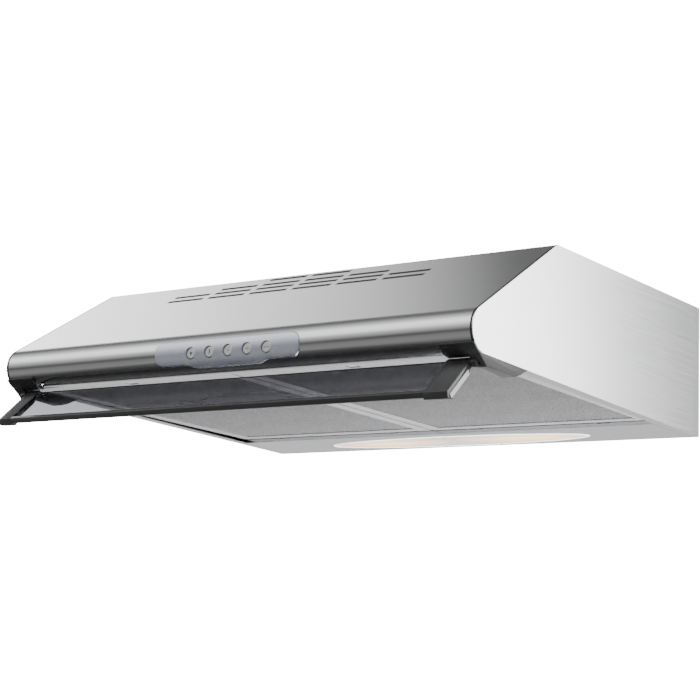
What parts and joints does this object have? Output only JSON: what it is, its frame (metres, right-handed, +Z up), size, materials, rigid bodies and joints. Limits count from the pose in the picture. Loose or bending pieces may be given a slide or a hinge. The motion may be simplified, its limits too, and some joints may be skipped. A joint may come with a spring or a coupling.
{
  "type": "under-cabinet range hood",
  "caption": "Under-cabinet range hood with a sloping vented steel front, rolled control edge, smoked glass visor, mesh filters and a rear oval lamp.",
  "frame": {"origin": "centre of the four cabinet screw holes, on the top face", "axes": "+Z up, +Y towards the wall, +X to the right of someone facing the hood; the front faces -Y"},
  "size_m": [0.6, 0.5016, 0.21],
  "materials": {
    "stainless": "brushed",
    "galvanised": "matt",
    "gasket": "matt",
    "fascia_silver": "satin",
    "button_silver": "gloss",
    "black_plastic": "satin",
    "smoked_glass": "gloss",
    "satin_strip": "satin",
    "zinc_steel": "satin",
    "filter_aluminium": "satin",
    "latch_plastic": "satin",
    "lens_white": "translucent",
    "bulb_glass": "frosted",
    "white_plastic": "satin",
    "motor_paint": "satin"
  },
  "bodies": {
    "hood": {"back_panel": "galvanised", "blower_housing_lower": "black_plastic", "blower_housing_upper": "black_plastic", "cable_gland": "black_plastic", "capacitor": "white_plastic", "collar_screws": "zinc_steel", "control_fascia": "fascia_silver", "damper_pin": "zinc_steel", "edge_trim_left": "gasket", "edge_trim_right": "gasket", "front_panel": "stainless", "lamp_bulb_left": "bulb_glass", "lamp_bulb_right": "bulb_glass", "lamp_holder_left": "white_plastic", "lamp_holder_right": "white_plastic", "lamp_panel": "stainless", "lamp_tray": "galvanised", "lens_hinge_pins": "zinc_steel", "motor_bearings": "zinc_steel", "motor_bushes": "gasket", "motor_case": "motor_paint", "motor_cradle": "galvanised", "motor_stator": "zinc_steel", "outlet_collar": "black_plastic", "side_panel_left": "stainless", "side_panel_right": "stainless", "switch_block": "black_plastic", "terminal_box": "black_plastic", "top_panel": "galvanised", "visor_bracket_left": "black_plastic", "visor_bracket_right": "black_plastic", "visor_pin_left": "zinc_steel", "visor_pin_right": "zinc_steel", "wiring_loom": "black_plastic"},
    "button_light": {"button_light": "button_silver"},
    "button_speed_1": {"button_speed_1": "button_silver"},
    "button_speed_2": {"button_speed_2": "button_silver"},
    "button_speed_3": {"button_speed_3": "button_silver"},
    "button_stop": {"button_stop": "button_silver"},
    "flap_left": {"damper_flap_left": "black_plastic"},
    "flap_right": {"damper_flap_right": "black_plastic"},
    "filter_left": {"filter_frame_left": "filter_aluminium", "filter_mesh_left": "filter_aluminium"},
    "filter_right": {"filter_frame_right": "filter_aluminium", "filter_mesh_right": "filter_aluminium"},
    "latch_left": {"filter_latch_left": "latch_plastic"},
    "latch_right": {"filter_latch_right": "latch_plastic"},
    "rotor": {"impeller_left": "white_plastic", "impeller_right": "white_plastic", "motor_rotor": "zinc_steel"},
    "lens": {"lamp_lens": "lens_white"},
    "visor": {"visor_arm_left": "black_plastic", "visor_arm_right": "black_plastic", "visor_edge_trim": "black_plastic", "visor_glass": "smoked_glass", "visor_side_strip_left": "satin_strip", "visor_side_strip_right": "satin_strip"}
  },
  "joints": [
    {"name": "press_light", "type": "slide", "parent": "hood", "child": "button_light", "axis": [0, 1, 0], "range_m": [0, 0.0025], "stiffness_N_per_m": 600, "springref_m": -0.002},
    {"name": "press_stop", "type": "slide", "parent": "hood", "child": "button_stop", "axis": [0, 1, 0], "range_m": [0, 0.0025], "stiffness_N_per_m": 600, "springref_m": -0.002},
    {"name": "press_speed_1", "type": "slide", "parent": "hood", "child": "button_speed_1", "axis": [0, 1, 0], "range_m": [0, 0.0025], "stiffness_N_per_m": 600, "springref_m": -0.002},
    {"name": "press_speed_2", "type": "slide", "parent": "hood", "child": "button_speed_2", "axis": [0, 1, 0], "range_m": [0, 0.0025], "stiffness_N_per_m": 600, "springref_m": -0.002},
    {"name": "press_speed_3", "type": "slide", "parent": "hood", "child": "button_speed_3", "axis": [0, 1, 0], "range_m": [0, 0.0025], "stiffness_N_per_m": 600, "springref_m": -0.002},
    {"name": "visor_tilt", "type": "hinge", "parent": "hood", "child": "visor", "pos_m": [0, -0.29598, -0.13705], "axis": [-1, 0, 0], "range_deg": [-132, 0]},
    {"name": "filter_swing_left", "type": "hinge", "parent": "hood", "child": "filter_left", "pos_m": [0, 0.07628, -0.13975], "axis": [1, 0, 0], "range_deg": [0, 80]},
    {"name": "latch_slide_left", "type": "slide", "parent": "filter_left", "child": "latch_left", "axis": [0, 0.9996, -0.0292], "range_m": [0, 0.0035], "stiffness_N_per_m": 300, "springref_m": -0.003},
    {"name": "filter_swing_right", "type": "hinge", "parent": "hood", "child": "filter_right", "pos_m": [0, 0.07628, -0.13975], "axis": [1, 0, 0], "range_deg": [0, 80]},
    {"name": "latch_slide_right", "type": "slide", "parent": "filter_right", "child": "latch_right", "axis": [0, 0.9996, -0.0292], "range_m": [0, 0.0035], "stiffness_N_per_m": 300, "springref_m": -0.003},
    {"name": "lens_tilt", "type": "hinge", "parent": "hood", "child": "lens", "pos_m": [0, 0.15802, -0.14774], "axis": [1, 0, 0], "range_deg": [0, 75]},
    {"name": "flap_left_hinge", "type": "hinge", "parent": "hood", "child": "flap_left", "pos_m": [0, 0.072, 0.004], "axis": [0, 1, 0], "range_deg": [0, 75]},
    {"name": "flap_right_hinge", "type": "hinge", "parent": "hood", "child": "flap_right", "pos_m": [0, 0.072, 0.004], "axis": [0, -1, 0], "range_deg": [0, 75]},
    {"name": "blower_spin", "type": "hinge", "parent": "hood", "child": "rotor", "pos_m": [0, -0.035, -0.059], "axis": [1, 0, 0], "continuous": true}
  ]
}
